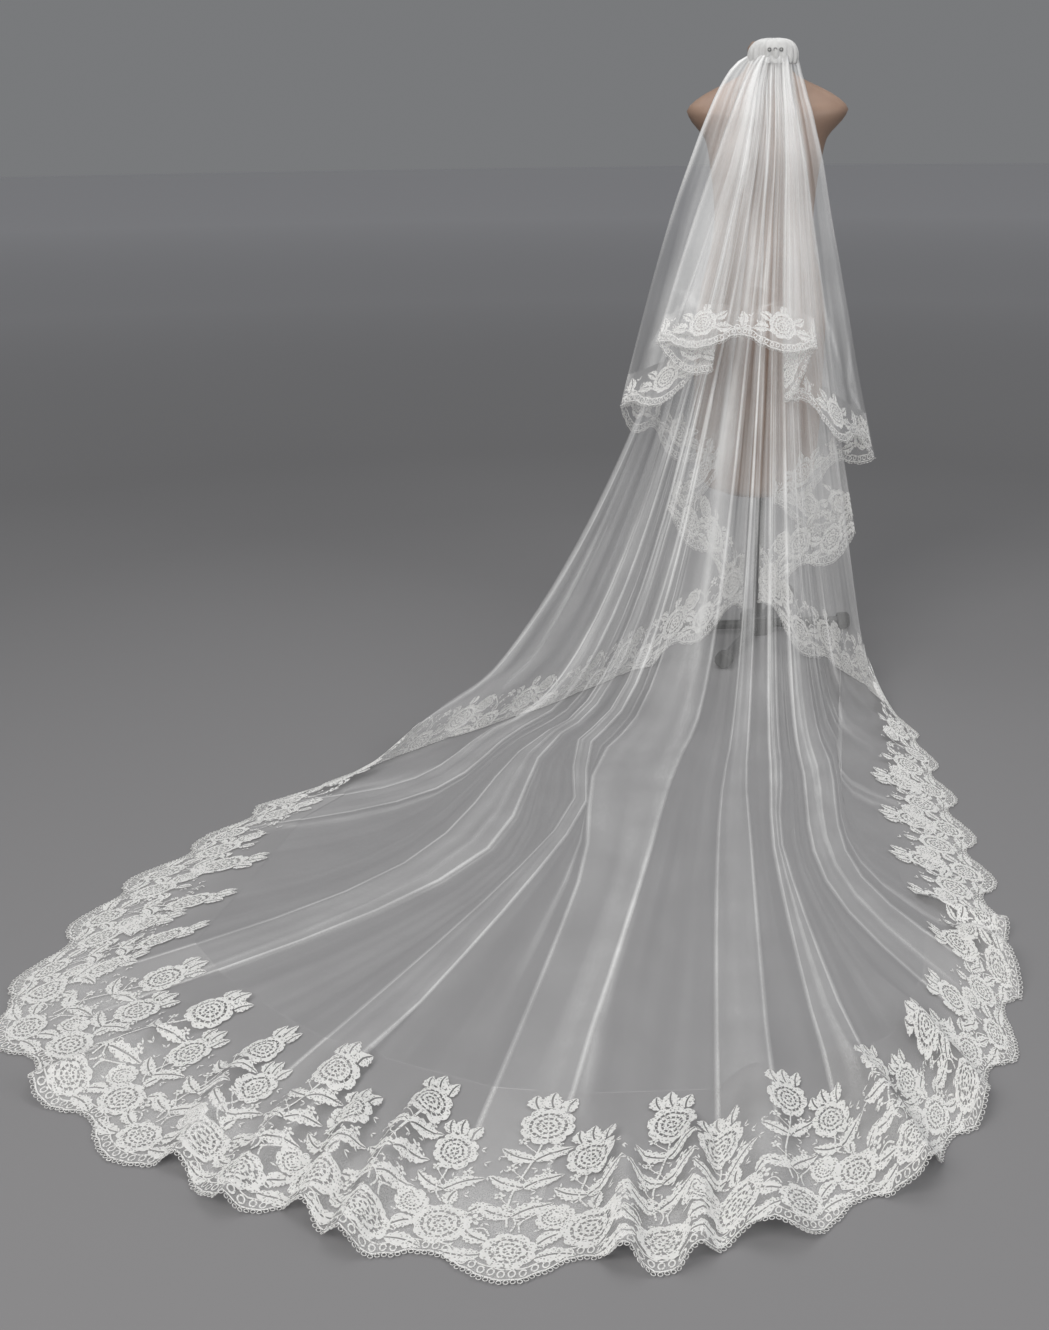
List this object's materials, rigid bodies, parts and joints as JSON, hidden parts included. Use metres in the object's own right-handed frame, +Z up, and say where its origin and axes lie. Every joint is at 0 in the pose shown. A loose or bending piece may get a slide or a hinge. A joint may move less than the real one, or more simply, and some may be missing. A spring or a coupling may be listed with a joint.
{
  "type": "bridal veil on a dress form",
  "caption": "Two-tier cathedral bridal veil with a scalloped lace border and a long train, on a headless gown form with a pole and a low cross base.",
  "frame": {"origin": "on the floor, at the middle of the flat underside of the stand's round base", "axes": "+Z up; the veil hangs down the form's back and its train runs along -Y; +X to the right when looking at the veil"},
  "size_m": [1.7125, 2.9356, 1.491],
  "materials": {
    "tulle": "sheer white net",
    "lace": "ivory white corded lace",
    "gathered_tulle": "closely gathered white net",
    "clear_plastic": "clear",
    "form_skin": "smooth matte",
    "black_metal": "satin",
    "black_rubber": "matte"
  },
  "bodies": {
    "root": {"upper_tier": "tulle", "cascade_left": "tulle", "cascade_right": "tulle", "long_tier_back_left": "tulle", "long_tier_left": "tulle", "long_tier_centre": "tulle", "long_tier_right": "tulle", "long_tier_back_right": "tulle", "lace_upper": "lace", "lace_cascade_left": "lace", "lace_cascade_right": "lace", "lace_back_left": "lace", "lace_train_left": "lace", "lace_train_end": "lace", "lace_train_right": "lace", "lace_back_right": "lace", "gathered_heading": "gathered_tulle", "comb": "clear_plastic", "form_body": "form_skin", "pole": "black_metal", "base_hub": "black_metal", "base_leg_1": "black_metal", "base_leg_2": "black_metal", "base_leg_3": "black_metal", "base_leg_4": "black_metal", "foot_cap_1": "black_rubber", "foot_cap_2": "black_rubber", "foot_cap_3": "black_rubber", "foot_cap_4": "black_rubber"}
  },
  "joints": []
}
